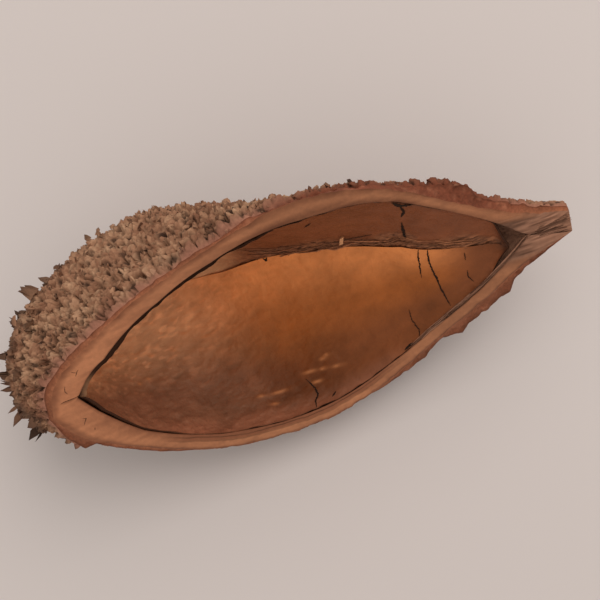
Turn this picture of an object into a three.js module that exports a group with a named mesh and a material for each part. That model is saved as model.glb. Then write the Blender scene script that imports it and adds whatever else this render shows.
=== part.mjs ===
// Opened half of a dry woody fruit pod, lying on its near flank, with its thin inner lining.
// Millimetres, +Z up. X runs from the blunt end (-X) to the stalk (+X), the mouth faces -Y and up.
import * as THREE from "three";

// The boat-shaped half is rolled about its length, and its stalk end dips a little, degrees
const ROLL_DEG = 49;
const PITCH_DEG = 3.5;

// Curves of the half pod before the roll: [along, half width, depth below the rim plane]
const OUTER_EDGE = [
  [-87, 0, 1.2], [-83, 12, 1.2], [-66, 26.5, 1.4], [-40, 39.3, 1.6], [-4, 46.5, 2],
  [24, 42, 2.2], [48, 31, 2.4], [68, 18, 2], [88, 5.8, 1],
];
const OUTER_KEEL = [
  [-87, 0, 1.2], [-95, 0, 15], [-90.5, 0, 36], [-69, 0, 54.5], [-40, 0, 59.5],
  [-10, 0, 49], [20, 0, 33.5], [48, 0, 19.5], [70, 0, 11.5], [88, 0, 7],
];
const BAND_EDGE = [
  [-85.5, 0, 0], [-80, 12.2, 0], [-64, 24.6, 0], [-40, 37.4, 0], [0, 44.6, 0],
  [24, 38.6, 0], [48, 25, 0], [72, 10.2, 0], [88, 4.4, 0],
];
const MOUTH_EDGE = [
  [-75, 0, 0.6], [-72, 6.8, 0.6], [-64, 15.8, 0.6], [-48, 27, 0.6], [-24, 36, 0.6],
  [0, 39.2, 0.6], [24, 33.4, 0.6], [48, 20.5, 0.6], [64, 9, 0.6], [74, 0, 0.6],
];
const CAVITY_KEEL = [
  [-75, 0, 0.6], [-80, 0, 14], [-71, 0, 35], [-45, 0, 47], [-15, 0, 41.5],
  [10, 0, 31.5], [33, 0, 20], [48, 0, 11.5], [62, 0, 6.8], [71, 0, 4.6], [74, 0, 0.6],
];

// Sideways sway of the mouth, the lining and the outside along the half
const SWAY_MOUTH = [[-82, 0], [-60, -2.6], [-40, -3.6], [-20, -2.6], [20, 2.6], [36, 3.4], [56, 1], [76, 0]];
const SWAY_LINING = [[-82, 0], [-60, -2.6], [-40, -3.6], [-20, -2.6], [20, 2.4], [36, 2.8], [50, 0.4], [66, -2.4]];
const SWAY_OUTSIDE = [[-82, 0], [-60, -2.6], [-40, -3.6], [-20, -2.6], [10, 0.6], [40, 0.4], [76, 0]];

// How the section goes from round (1) to V shaped (2), on the far flank and on the one it lies on
const SHAPE_FAR = [[-95, 0.92], [-26, 0.95], [-12, 1.2], [0, 1.58], [25, 1.8], [60, 1.5], [90, 1]];
const SHAPE_NEAR = [[-95, 1], [-60, 1.2], [-30, 1.3], [0, 1.5], [25, 1.62], [60, 1.4], [90, 1]];

// Tubercles of the outside
const CELL = 2.15;
const TUBERCLE_LOW = 1.3;
const TUBERCLE_HIGH = 2.8;
const TUFT_HIGH = 4;
const TUFT_SHARE = 0.12;
const TUBERCLE_LEAN = 1;
const RIDGE_SHARE = 0.5;
const VALLEY_JITTER = 0.35;
const TUBERCLE_REACH = [[-95, 1], [-5, 1], [20, 0.75], [50, 0.7], [68, 0.5], [78, 0.25], [88, 0.12]];
const TORN_EDGE = [[-90, 0.3], [10, 0.4], [40, 1.1], [75, 0.9], [88, 0.2]];
const SEED = 20417;

// Thin lining, shrunk away from the wall and the mouth
const LINING_ENDS = [-72.4, 66];
const LIP_DROP_FAR = 2;
const LIP_DROP_NEAR = 1;
const LIP_DROP_MID = 1.5;
const LIP_GAP_FAR = [[-75, 3], [-60, 4.4], [-30, 3.8], [0, 2.5], [40, 2.5], [74, 1.8]];
const LIP_GAP_NEAR = [[-75, 2.4], [-56, 1.8], [-40, 0.9], [74, 0.9]];
const FLOOR_GAP = 1;
const LINING_THICK = 1.4;
const CREASE_STEP = 1.3;

// Flat spot it rests on, under its weight
const REST_AT = [-26, 17];
const REST_RADIUS = 7;
const REST_SKIN = 0.9;

// Points along and around the smooth inner surfaces
const STATIONS = 48;
const INNER_HALF = 10;
const CREASE_TURN = 0.014;

const HUSK_COLOUR = 0x8a6048;
const LINING_COLOUR = 0x8d5230;

// Seeded random numbers from 0 to 1
let randomState = SEED;
function random() {
  randomState = (randomState * 1664525 + 1013904223) % 4294967296;
  return randomState / 4294967296;
}

// Straight-line reading of a small table of [x, value]
function readTable(table, x) {
  if (x <= table[0][0]) return table[0][1];
  for (let i = 1; i < table.length; i += 1) {
    const [x0, a] = table[i - 1];
    const [x1, b] = table[i];
    if (x <= x1) return a + ((b - a) * (x - x0)) / (x1 - x0);
  }
  return table[table.length - 1][1];
}

function smoothCurve(points) {
  const vectors = points.map(([x, half, depth]) => new THREE.Vector3(x, half, depth));
  const curve = new THREE.CatmullRomCurve3(vectors, false, "centripetal");
  return (s) => curve.getPointAt(s);
}

const outerEdge = smoothCurve(OUTER_EDGE);
const outerKeel = smoothCurve(OUTER_KEEL);
const bandEdge = smoothCurve(BAND_EDGE);
const mouthEdge = smoothCurve(MOUTH_EDGE);
const cavityKeel = smoothCurve(CAVITY_KEEL);

// Boat frame to the lying half: sway, roll about X, then pitch about Y
const ROLL = THREE.MathUtils.degToRad(ROLL_DEG);
const PITCH = THREE.MathUtils.degToRad(PITCH_DEG);
function toLying(x, across, depth, sway) {
  const v = across + readTable(sway, x);
  const y = v * Math.cos(ROLL) + depth * Math.sin(ROLL);
  const z = v * Math.sin(ROLL) - depth * Math.cos(ROLL);
  return new THREE.Vector3(
    x * Math.cos(PITCH) + z * Math.sin(PITCH),
    y,
    z * Math.cos(PITCH) - x * Math.sin(PITCH),
  );
}

// One point of a cross-section; turn 0 is the far edge, 0.5 the keel, 1 the near edge
function sectionPoint(edge, keel, turn, sway) {
  const angle = Math.PI * turn;
  const far = turn <= 0.5;
  const c = turn === 0.5 ? 0 : Math.abs(Math.cos(angle));
  const s = Math.max(Math.sin(angle), 0);
  const shape = readTable(far ? SHAPE_FAR : SHAPE_NEAR, edge.x);
  const across = (far ? 1 : -1) * edge.y * c ** shape;
  const depth = edge.z + (keel.z - edge.z) * s ** shape;
  const x = edge.x + (keel.x - edge.x) * s ** 1.3;
  return toLying(x, across, depth, sway);
}

// A growing triangle mesh
class Skin {
  constructor() {
    this.points = [];
    this.faces = [];
  }

  add(point) {
    this.points.push(point);
    return this.points.length - 1;
  }

  face(a, b, c) {
    if (a !== b && b !== c && c !== a) this.faces.push([a, b, c]);
  }

  // Band of triangles between two rows of points, which may differ in number
  strip(rowA, rowB) {
    let i = 0;
    let j = 0;
    while (i < rowA.length - 1 || j < rowB.length - 1) {
      const canA = i < rowA.length - 1;
      const canB = j < rowB.length - 1;
      const a = this.points[rowA[i]];
      const b = this.points[rowB[j]];
      const stepA = canA ? this.points[rowA[i + 1]].distanceTo(b) : Infinity;
      const stepB = canB ? this.points[rowB[j + 1]].distanceTo(a) : Infinity;
      if (stepA <= stepB) {
        this.face(rowA[i], rowB[j], rowA[i + 1]);
        i += 1;
      } else {
        this.face(rowA[i], rowB[j], rowB[j + 1]);
        j += 1;
      }
    }
  }

  normals() {
    const sums = this.points.map(() => new THREE.Vector3());
    for (const [a, b, c] of this.faces) {
      const ab = this.points[b].clone().sub(this.points[a]);
      const ac = this.points[c].clone().sub(this.points[a]);
      const area = ab.cross(ac);
      for (const k of [a, b, c]) sums[k].add(area);
    }
    return sums.map((sum) => sum.normalize());
  }

  neighbours() {
    const sets = this.points.map(() => new Set());
    for (const [a, b, c] of this.faces) {
      sets[a].add(b).add(c);
      sets[b].add(a).add(c);
      sets[c].add(a).add(b);
    }
    return sets.map((set) => [...set]);
  }

  mesh(name, colour, roughness) {
    const geometry = new THREE.BufferGeometry();
    const flat = this.points.flatMap((p) => [p.x, p.y, p.z]);
    geometry.setAttribute("position", new THREE.Float32BufferAttribute(flat, 3));
    geometry.setIndex(this.faces.flat());
    geometry.computeVertexNormals();
    const material = new THREE.MeshStandardMaterial({ color: colour, roughness });
    const mesh = new THREE.Mesh(geometry, material);
    mesh.name = name;
    return mesh;
  }
}

// Points spaced evenly along a finely sampled section
function evenSection(edge, keel) {
  const fine = [];
  for (let i = 0; i <= 240; i += 1) fine.push(sectionPoint(edge, keel, i / 240, SWAY_OUTSIDE));
  const lengths = [0];
  for (let i = 1; i < fine.length; i += 1) {
    lengths.push(lengths[i - 1] + fine[i].distanceTo(fine[i - 1]));
  }
  const whole = lengths[lengths.length - 1];
  const wanted = Math.max(3, Math.round(whole / CELL));
  const points = [];
  let k = 1;
  for (let i = 0; i <= wanted; i += 1) {
    const at = (whole * i) / wanted;
    while (k < lengths.length - 1 && lengths[k] < at) k += 1;
    const f = (at - lengths[k - 1]) / (lengths[k] - lengths[k - 1]);
    points.push(fine[k - 1].clone().lerp(fine[k], f));
  }
  return points;
}

// Outside of the husk as rings of points from the far edge over the keel to the near edge
function addOutside(skin) {
  const ringCount = Math.round(200 / (CELL * 0.93));
  const pole = outerEdge(0);
  const rings = [[skin.add(toLying(pole.x, 0, pole.z, SWAY_OUTSIDE))]];
  for (let k = 1; k <= ringCount; k += 1) {
    const s = k / ringCount;
    const edge = outerEdge(s);
    edge.y += (random() - 0.5) * 2 * readTable(TORN_EDGE, edge.x);
    const points = evenSection(edge, outerKeel(s));
    rings.push(points.map((p) => skin.add(p)));
    skin.strip(rings[k - 1], rings[k]);
  }
  return rings;
}

// Tubercles: a seeded scatter of points that never touch, each pulled out to a leaning tip
function raiseTubercles(skin, fixed) {
  const normals = skin.normals();
  const near = skin.neighbours();
  const order = skin.points.map((_, k) => [random(), k]).sort((a, b) => a[0] - b[0]);
  const role = new Map();
  const lift = skin.points.map(() => (random() - 0.5) * 2 * VALLEY_JITTER);
  for (const [, k] of order) {
    if (fixed.has(k) || role.has(k)) continue;
    role.set(k, "tip");
    for (const n of near[k]) if (!role.has(n)) role.set(n, "valley");
    const tuft = skin.points[k].x < -70 && random() < TUFT_SHARE;
    const high = TUBERCLE_LOW + (TUBERCLE_HIGH - TUBERCLE_LOW) * random();
    lift[k] = tuft ? TUFT_HIGH : high;
    const ridge = near[k][Math.floor(random() * near[k].length)];
    if (random() < RIDGE_SHARE) lift[ridge] = Math.max(lift[ridge], 0.5 * lift[k]);
  }
  skin.points.forEach((point, k) => {
    if (fixed.has(k)) return;
    const reach = readTable(TUBERCLE_REACH, point.x);
    const lean = new THREE.Vector3(random() - 0.5, random() - 0.5, random() - 0.5);
    const tip = role.get(k) === "tip";
    if (tip) point.addScaledVector(lean, 2 * TUBERCLE_LEAN * reach);
    point.addScaledVector(normals[k], lift[k] * reach);
  });
}

// Tubercles worn down to the level it rests on, with a small flat spot under its weight
function wearRestSpot(skin, level) {
  for (const point of skin.points) {
    const away = Math.hypot(point.x - REST_AT[0], point.y - REST_AT[1]);
    if (point.z < level || (away < REST_RADIUS && point.z < level + 6)) point.z = level;
  }
}

// Turns round an inner section, with an extra point beside the keel for the crease
const INNER_TURNS = [];
for (let i = 0; i <= INNER_HALF; i += 1) INNER_TURNS.push((0.5 * i) / INNER_HALF);
INNER_TURNS.push(0.5 + CREASE_TURN);
for (let i = 1; i <= INNER_HALF; i += 1) INNER_TURNS.push(0.5 + (0.5 * i) / INNER_HALF);

// Smooth inner boat as rings between two end poles
function addBoat(skin, edgeAt, keelAt, sway, keelStep) {
  const rings = [];
  for (let k = 0; k <= STATIONS; k += 1) {
    const s = k / STATIONS;
    if (k === 0 || k === STATIONS) {
      const pole = keelAt(s);
      rings.push([skin.add(toLying(pole.x, 0, pole.z, sway))]);
      continue;
    }
    const ring = INNER_TURNS.map((turn) => {
      const edge = edgeAt(s, turn <= 0.5);
      const keel = keelAt(s);
      if (turn > 0.5) keel.z -= keelStep * Math.min(1, (keel.z - edge.z) / 12);
      return skin.add(sectionPoint(edge, keel, turn, sway));
    });
    rings.push(ring);
  }
  return rings;
}

const first = (ring) => ring[0];
const last = (ring) => ring[ring.length - 1];

function buildHusk() {
  const skin = new Skin();
  const outside = addOutside(skin);
  const lowest = Math.min(...skin.points.map((p) => p.z));
  const level = lowest - REST_SKIN;
  const fixed = new Set([...outside.map(first), ...outside.map(last), ...outside[outside.length - 1]]);
  raiseTubercles(skin, fixed);
  wearRestSpot(skin, level);

  const mouth = addBoat(skin, mouthEdge, cavityKeel, SWAY_MOUTH, 0);
  const bandFar = [];
  const bandNear = [];
  for (let k = 0; k <= STATIONS; k += 1) {
    const band = bandEdge(k / STATIONS);
    const far = skin.add(toLying(band.x, band.y, band.z, SWAY_MOUTH));
    bandFar.push(far);
    bandNear.push(k === 0 ? far : skin.add(toLying(band.x, -band.y, band.z, SWAY_MOUTH)));
  }
  for (let k = 1; k < mouth.length; k += 1) skin.strip(mouth[k], mouth[k - 1]);
  skin.strip(outside.map(first), bandFar);
  skin.strip(bandFar, mouth.map(first));
  skin.strip(mouth.map(last), bandNear);
  skin.strip(bandNear, outside.map(last));

  // Top of the stalk and its cut end
  const endFar = last(bandFar);
  const endNear = last(bandNear);
  skin.face(last(mouth)[0], endNear, endFar);
  const stalkEnd = outside[outside.length - 1];
  const loop = [...stalkEnd].reverse().concat([endFar, endNear]);
  const middle = new THREE.Vector3();
  for (const k of loop) middle.addScaledVector(skin.points[k], 1 / loop.length);
  const centre = skin.add(middle);
  loop.forEach((k, i) => skin.face(centre, k, loop[(i + 1) % loop.length]));
  return { skin, level };
}

// Lining edge and keel, moved in from the mouth and the wall
function liningX(x) {
  const f = (x - MOUTH_EDGE[0][0]) / (last(MOUTH_EDGE)[0] - MOUTH_EDGE[0][0]);
  return THREE.MathUtils.lerp(LINING_ENDS[0], LINING_ENDS[1], f);
}

function liningEdge(s, far, thick) {
  const edge = mouthEdge(s);
  const gap = readTable(far ? LIP_GAP_FAR : LIP_GAP_NEAR, edge.x);
  const inset = (gap + thick) * Math.min(1, edge.y / 8);
  const shrink = 1 - thick / 72;
  const drop = THREE.MathUtils.lerp(LIP_DROP_MID, far ? LIP_DROP_FAR : LIP_DROP_NEAR, Math.min(1, edge.y / 8));
  return new THREE.Vector3(liningX(edge.x) * shrink, edge.y - inset, edge.z + drop);
}

function liningKeel(s, thick) {
  const keel = cavityKeel(s);
  const deep = Math.min(1, (keel.z - MOUTH_EDGE[0][2]) / 10);
  const shrink = 1 - thick / 72;
  const depth = keel.z + LIP_DROP_MID * (1 - deep) - (FLOOR_GAP + thick) * deep;
  return new THREE.Vector3(liningX(keel.x) * shrink, 0, depth);
}

function buildLining() {
  const skin = new Skin();
  const side = (thick, keelStep) => addBoat(
    skin,
    (s, far) => liningEdge(s, far, thick),
    (s) => liningKeel(s, thick),
    SWAY_LINING,
    keelStep,
  );
  const under = side(0, 0);
  const over = side(LINING_THICK, CREASE_STEP);
  for (let k = 1; k < under.length; k += 1) {
    skin.strip(under[k - 1], under[k]);
    skin.strip(over[k], over[k - 1]);
  }
  skin.strip(under.map(first), over.map(first));
  skin.strip(over.map(last), under.map(last));
  return skin;
}

const { skin: huskSkin, level: groundLevel } = buildHusk();
const liningSkin = buildLining();
const husk = huskSkin.mesh("husk", HUSK_COLOUR, 0.9);
const lining = liningSkin.mesh("inner_lining", LINING_COLOUR, 0.45);

const pod = new THREE.Group();
pod.name = "pod_half";
for (const mesh of [husk, lining]) {
  mesh.geometry.translate(-REST_AT[0], -REST_AT[1], -groundLevel);
  pod.add(mesh);
}

export default pod;
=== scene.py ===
# Looks of an opened woody pod half: tubercled husk, smooth rim, glossy lining, floor and light
import math

import bpy
import numpy as np
from mathutils import Matrix, Vector, kdtree


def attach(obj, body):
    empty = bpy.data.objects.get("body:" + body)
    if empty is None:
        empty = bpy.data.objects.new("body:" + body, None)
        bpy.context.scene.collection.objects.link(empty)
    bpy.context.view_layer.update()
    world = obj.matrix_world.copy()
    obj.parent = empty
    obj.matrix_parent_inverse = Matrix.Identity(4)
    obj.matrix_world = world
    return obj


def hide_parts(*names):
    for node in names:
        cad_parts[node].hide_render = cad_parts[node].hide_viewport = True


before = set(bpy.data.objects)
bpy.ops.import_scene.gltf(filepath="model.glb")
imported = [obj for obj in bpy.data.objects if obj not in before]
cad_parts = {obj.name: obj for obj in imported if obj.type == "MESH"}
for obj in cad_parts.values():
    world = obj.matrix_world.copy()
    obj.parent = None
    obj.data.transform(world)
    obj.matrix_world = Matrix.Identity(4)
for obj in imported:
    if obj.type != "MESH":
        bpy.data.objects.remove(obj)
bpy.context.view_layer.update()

# Millimetres in this file become metres in the meshes
MM = 0.001
rng = np.random.default_rng(20417)

# The lying half: roll about its length, dip of the stalk end, and where its boat frame sits
ROLL = math.radians(49)
PITCH = math.radians(3.5)
BOAT_AT = np.array([26.0, -17.0, 47.194])

# Curves of the half pod: along, half width, depth below the rim plane
OUTER_EDGE = [
    (-87, 0, 1.2), (-83, 12, 1.2), (-66, 26.5, 1.4), (-40, 39.3, 1.6), (-4, 46.5, 2),
    (24, 42, 2.2), (48, 31, 2.4), (68, 18, 2), (88, 5.8, 1),
]
OUTER_KEEL = [
    (-87, 0, 1.2), (-95, 0, 15), (-90.5, 0, 36), (-69, 0, 54.5), (-40, 0, 59.5),
    (-10, 0, 49), (20, 0, 33.5), (48, 0, 19.5), (70, 0, 11.5), (88, 0, 7),
]
BAND_EDGE = [
    (-85.5, 0, 0), (-80, 12.2, 0), (-64, 24.6, 0), (-40, 37.4, 0), (0, 44.6, 0),
    (24, 38.6, 0), (48, 25, 0), (72, 10.2, 0), (88, 4.4, 0),
]
MOUTH_EDGE = [
    (-75.4, 0, 0.6), (-71.5, 6.4, 0.6), (-64, 15.4, 0.6), (-48, 27, 0.6), (-24, 36, 0.6),
    (0, 39.2, 0.6), (24, 33.4, 0.6), (48, 20.5, 0.6), (64, 9, 0.6), (74, 0, 0.6),
]
CAVITY_KEEL = [
    (-75.4, 0, 0.6), (-79, 0, 14), (-71, 0, 35), (-45, 0, 47), (-15, 0, 41.5),
    (10, 0, 31.5), (33, 0, 20), (48, 0, 11.5), (62, 0, 6.8), (71, 0, 4.6), (74, 0, 0.6),
]
SWAY_BAND = [(-82, 0), (-60, -2.6), (-40, -3.6), (-20, -2.6), (20, 2.6), (36, 3.4), (56, 1), (76, 0)]
SWAY_MOUTH = [(-76, 5.2), (-71.5, 2.2), (-62, -2.2)] + SWAY_BAND[2:]
SWAY_LINING = SWAY_MOUTH[:5] + [(20, 2.4), (36, 2.8), (50, 0.4), (66, -2.4)]
SWAY_OUTSIDE = [(-82, 0), (-60, -2.6), (-40, -3.6), (-20, -2.6), (10, 0.6), (40, 0.4), (76, 0)]
BAND_OUT_FAR = [
    (-87, 0), (-78, 1), (-66, 1.8), (-10, 1.8), (10, 2.2), (25, 2.6), (40, 2.9), (50, 2),
    (56, 1.6), (70, 1), (80, 0),
]
MOUTH_OUT_FAR = [
    (-74, 0), (-70, 0.8), (-60, 1.2), (-45, 2), (-30, 2.6), (-18, 2.2), (-5, 1), (8, 0),
    (18, 0.2), (28, 1.6), (40, 2.2), (56, 1.7), (66, 0.8), (72, 0),
]
SHAPE_FAR = [(-95, 0.92), (-26, 0.95), (-12, 1.2), (0, 1.58), (25, 1.8), (60, 1.5), (90, 1)]
SHAPE_NEAR = [(-95, 0.8), (-82, 0.86), (-60, 1.2), (-30, 1.3), (0, 1.5), (25, 1.62), (60, 1.4), (90, 1)]

# Outside: grid, tubercle spacing and heights, and how far the torn edge stands in or out
STATIONS = 460
FAR_COLUMNS = 200
NEAR_COLUMNS = 140
GROUND_GAP = 0.05
TUBERCLE_STEP = 3.0
CRUMB_STEP = 1.5
PIT_STEP = 4.2
TUBERCLE_REACH = [(-95, 1), (-5, 1), (20, 0.8), (50, 0.75), (68, 0.55), (78, 0.4), (88, 0.2)]
TORN_EDGE = [(-90, 0.5), (0, 0.8), (40, 1.6), (72, 1.6), (88, 0.3)]
TORN_OUT_FAR = [
    (-10, 0), (15, -0.2), (30, 0.6), (45, 1.2), (55, 1.8), (59.5, 2.4), (61, -1.4), (64, -2.8),
    (78, -2.4), (88, -0.8),
]
TORN_OUT_NEAR = [
    (-87, 3.4), (-86, 4.6), (-84, 3.2), (-82, 4.8), (-80, 2), (-78, 0), (10, 0), (22, -0.6), (30, -1.6),
    (35, -3), (40, -2.6), (44, -0.4), (46.5, 0.8), (49, -1.2), (54, -0.4), (58, 1.4), (65, 2.2),
    (67, -1), (72, -1.8), (80, -1), (88, 0),
]

# Rim: rows of points across its bands and lip, then its dimming and torn look along the half pod
TORN_ROWS = 8
BAND_ROWS = 22
LIP_TURNS = (0.004, 0.03, 0.06, 0.12)
WALL_BACK = 1.9
RIM_DIM_FAR = [(-87, 0.92), (-60, 0.84), (-30, 0.74), (0, 0.64), (45, 0.66), (60, 0.72), (88, 0.8)]
RIM_DIM_NEAR = [(-87, 0.9), (-64, 0.74), (-30, 0.66), (10, 0.74), (50, 0.55), (88, 0.65)]
RIM_INNER_FAR = [(-60, 0.1), (-20, 0.25), (0, 0.7), (50, 0.7), (70, 0.3)]
RIM_INNER_NEAR = [(-87, 0.2), (-76, 0.5), (-62, 0.4), (-50, 0)]
TORN_RIM_FAR = [(-87, 0.9), (-25, 0.85), (-5, 0.5), (12, 0), (64, 0), (76, 0.7), (88, 0.8)]
TORN_RIM_NEAR = [(-87, 0.5), (-50, 0.8), (20, 0.7), (50, 0.5), (80, 0.4)]

# Lining: ends, lip drops, gaps to the mouth, thickness, crease and the near panel's overhang there
LINING_ENDS = (-75, 67.5)
LINING_HALF_LENGTH = 72
LIP_DROP_FAR = 0.7
LIP_DROP_NEAR = 0.3
LIP_DROP_MID = 0.7
LIP_GAP_FAR = [
    (-76, -0.6), (-70, -0.3), (-66, 0.8), (-60, 1.5), (-52, 1.2), (-40, 1.6), (-20, 1.5), (-6, 1.2),
    (6, 0.5), (44, 0), (56, -1.4), (74, -2),
]
LIP_GAP_NEAR = [(-76, 0), (-70, 0.6), (-64, 0.1), (-58, -0.3), (24, 0), (40, 0.8), (56, 2.2), (74, 2.4)]
LIP_THIN = 0.2
FLOOR_GAP = 1.0
LINING_THICK = 1.4
UNDER_BACK = 0.55
CREASE_STEP = 1.3
CREASE_TURN = 0.006
OVERHANG = [(0.4, 0), (0.48, 1.2), (0.55, 3.1), (0.6, 3.4), (0.75, 2.6), (0.9, 1.5), (1, 0)]
LINING_STATIONS = 300

# Marks of the lining: slant of its wrinkles, way of its raised streaks, which carry painted glints, then
# share along, turn and length of each
SLANT = np.array([[0.985, -0.174, 0], [0.174, 0.985, 0], [0, 0, 1]])
STREAK_ALONG = np.array([0.995, -0.1, 0])
GLINT_STREAKS = [
    (0.562, 0.831, 3.6), (0.572, 0.826, 2.4), (0.549, 0.856, 3.8), (0.578, 0.868, 3.6), (0.519, 0.849, 2.4),
    (0.519, 0.883, 1.8), (0.438, 0.878, 3), (0.416, 0.91, 1.6), (0.402, 0.88, 1.2), (0.205, 0.763, 2.2),
    (0.226, 0.759, 2.4), (0.301, 0.656, 1.6), (0.339, 0.636, 1.6), (0.345, 0.678, 1.6), (0.375, 0.702, 1.8),
    (0.259, 0.702, 2), (0.305, 0.71, 2), (0.238, 0.654, 1.6), (0.386, 0.629, 1.4), (0.186, 0.702, 1.8),
]

# Cracks and small marks of the lining: share along and turn of each point, half width in mm
LINING_CRACKS = [
    ([(0.845, 0.508), (0.835, 0.622), (0.824, 0.706)], 0.26),
    ([(0.86, 0.508), (0.854, 0.619), (0.849, 0.744), (0.835, 0.945)], 0.32),
    ([(0.919, 0.576), (0.916, 0.649)], 0.16),
    ([(0.91, 0.74), (0.905, 0.806), (0.908, 0.871)], 0.16),
    ([(0.763, 0.82), (0.755, 0.862), (0.753, 0.926), (0.742, 0.97)], 0.2),
    ([(0.503, 0.866), (0.508, 0.899), (0.504, 0.926), (0.49, 0.95), (0.482, 0.99)], 0.3),
    ([(0.524, 0.958), (0.538, 0.944)], 0.25),
    ([(0.701, 0.975), (0.716, 0.966), (0.726, 0.97)], 0.42),
    # Wide dark triangle at the far lip: painted shade in place of a notch in the lip
    ([(0.77, 0.03), (0.792, 0.08), (0.808, 0.02)], 1.1),
    ([(0.792, 0.09), (0.807, 0.15), (0.806, 0.2)], 0.45),
    ([(0.81, 0.24), (0.818, 0.314), (0.822, 0.36)], 0.5),
    # Small dark dot, dark lens and dark notch mark: painted shade in place of a hole, a slit and a notch
    ([(0.622, 0.21), (0.628, 0.17)], 0.35),
    ([(0.54, 0.24), (0.552, 0.21), (0.562, 0.185)], 0.5),
    ([(0.555, 0.508), (0.559, 0.53), (0.563, 0.508)], 0.3),
]
# Cracks of the rim: side, then share along and share across the light band, half width in mm
RIM_CRACKS = [
    (1, [(0.01, 0.94), (0.0175, 0.62), (0.025, 0.28)], 0.2),
    (1, [(0.105, 0.42), (0.095, 0.45), (0.085, 0.5)], 0.13),
    (1, [(0.1, 0.25), (0.097, 0.35), (0.095, 0.45)], 0.13),
    (1, [(0.065, 0.32), (0.05, 0.38), (0.04, 0.5)], 0.12),
    (-1, [(0.032, 0.55), (0.036, 0.62), (0.04, 0.5), (0.044, 0.4)], 0.14),
    (-1, [(0.06, 0.5), (0.064, 0.42)], 0.13),
]

# Camera: place, right and up directions, lens
CAMERA_AT = (0.05075, -0.05225, 0.45179)
CAMERA_RIGHT = (0.9283, -0.3596, -0.0946)
CAMERA_UP = (0.3669, 0.9272, 0.0752)
LENS_MM = 78


# Number helpers
def srgb(red, green, blue):
    """Linear colour from 0 to 255 screen values"""
    c = np.array([red, green, blue], float) / 255
    return np.where(c <= 0.04045, c / 12.92, ((c + 0.055) / 1.055) ** 2.4)


def mix(a, b, share):
    share = np.asarray(share)[..., None]
    return a * (1 - share) + b * share


def smoothstep(low, high, x):
    t = np.clip((x - low) / (high - low), 0, 1)
    return t * t * (3 - 2 * t)


def read_table(table, x):
    xs, ys = zip(*table)
    return np.interp(x, xs, ys)


def cell_random(cells, seed):
    """Repeatable number from 0 to 1 for each whole-number cell"""
    k = cells.astype(np.int64)
    h = k[..., 0] * 374761393 + k[..., 1] * 668265263 + k[..., 2] * 1440662683 + seed * 974711
    h = h & 0xFFFFFFFF
    h = ((h ^ (h >> 13)) * 1274126177) & 0xFFFFFFFF
    h = h ^ (h >> 16)
    return h / 4294967295.0


def noise(points, size, seed):
    """Smooth noise from -1 to 1 with lumps of the given size"""
    q = np.asarray(points) / np.asarray(size, float)
    cell = np.floor(q)
    f = q - cell
    f = f**3 * (f * (6 * f - 15) + 10)
    total = 0
    for corner in np.ndindex(2, 2, 2):
        weight = np.prod(np.where(np.array(corner) == 1, f, 1 - f), axis=-1)
        total = total + weight * cell_random(cell + np.array(corner), seed)
    return 2 * total - 1


def smooth_curve(points):
    """Centripetal spline through the points, read by its share of length"""
    p = np.array(points, float)
    p = np.vstack([2 * p[0] - p[1], p, 2 * p[-1] - p[-2]])
    u = np.linspace(0, 1, 40, endpoint=False)[:, None]
    pieces = []
    for a, b, c, d in zip(p, p[1:], p[2:], p[3:]):
        t0, t1, t2 = (np.linalg.norm(end - start) ** 0.5 for start, end in ((a, b), (b, c), (c, d)))
        m1 = ((b - a) / t0 - (c - a) / (t0 + t1) + (c - b) / t1) * t1
        m2 = ((c - b) / t1 - (d - b) / (t1 + t2) + (d - c) / t2) * t1
        curve = b + m1 * u + (3 * (c - b) - 2 * m1 - m2) * u**2 + (2 * (b - c) + m1 + m2) * u**3
        pieces.append(curve)
    dense = np.vstack(pieces + [p[-2:-1]])
    length = np.r_[0, np.cumsum(np.linalg.norm(np.diff(dense, axis=0), axis=1))]
    share = length / length[-1]
    return lambda s: np.stack([np.interp(s, share, dense[:, k]) for k in range(3)], -1)


outer_edge = smooth_curve(OUTER_EDGE)
outer_keel = smooth_curve(OUTER_KEEL)
band_edge = smooth_curve(BAND_EDGE)
mouth_edge = smooth_curve(MOUTH_EDGE)
cavity_keel = smooth_curve(CAVITY_KEEL)


def mouth_side(s, far):
    """Edge of the mouth on the far or the near side"""
    edge = mouth_edge(s) + np.zeros(np.shape(far) + (1,))
    edge[..., 1] += far * read_table(MOUTH_OUT_FAR, edge[..., 0]) * np.minimum(1, edge[..., 1] / 6)
    return edge


def to_lying(x, across, depth, sway):
    """Boat frame to the lying half"""
    v = across + read_table(sway, x)
    y = v * math.cos(ROLL) + depth * math.sin(ROLL)
    z = v * math.sin(ROLL) - depth * math.cos(ROLL)
    along = x * math.cos(PITCH) + z * math.sin(PITCH)
    up = z * math.cos(PITCH) - x * math.sin(PITCH)
    return np.stack([along, y, up], -1) + BOAT_AT


def boat_direction(x, across, depth):
    """Direction in the boat frame as a direction of the lying half"""
    zero = to_lying(0.0, 0.0, 0.0, [(0, 0), (1, 0)])
    return to_lying(float(x), float(across), float(depth), [(-9, 0), (9, 0)]) - zero


ALONG = boat_direction(1, 0, 0)
ACROSS = boat_direction(0, 1, 0)
RIM_UP = -boat_direction(0, 0, 1)
RIM_SLANT = np.stack([ALONG, ACROSS, RIM_UP], -1)


def section(edge, keel, turn, sway):
    """Points of a cross-section: turn 0 is the far edge, 0.5 the keel, 1 the near edge"""
    far = turn <= 0.5
    c = np.where(np.isclose(turn, 0.5), 0, np.abs(np.cos(np.pi * turn)))
    s = np.maximum(np.sin(np.pi * turn), 0)
    x = edge[..., 0]
    shape = np.where(far, read_table(SHAPE_FAR, x), read_table(SHAPE_NEAR, x))
    across = np.where(far, 1, -1) * edge[..., 1] * c**shape
    depth = edge[..., 2] + (keel[..., 2] - edge[..., 2]) * s**shape
    along = x + (keel[..., 0] - x) * s**1.3
    return to_lying(along, across, depth, sway)


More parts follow.
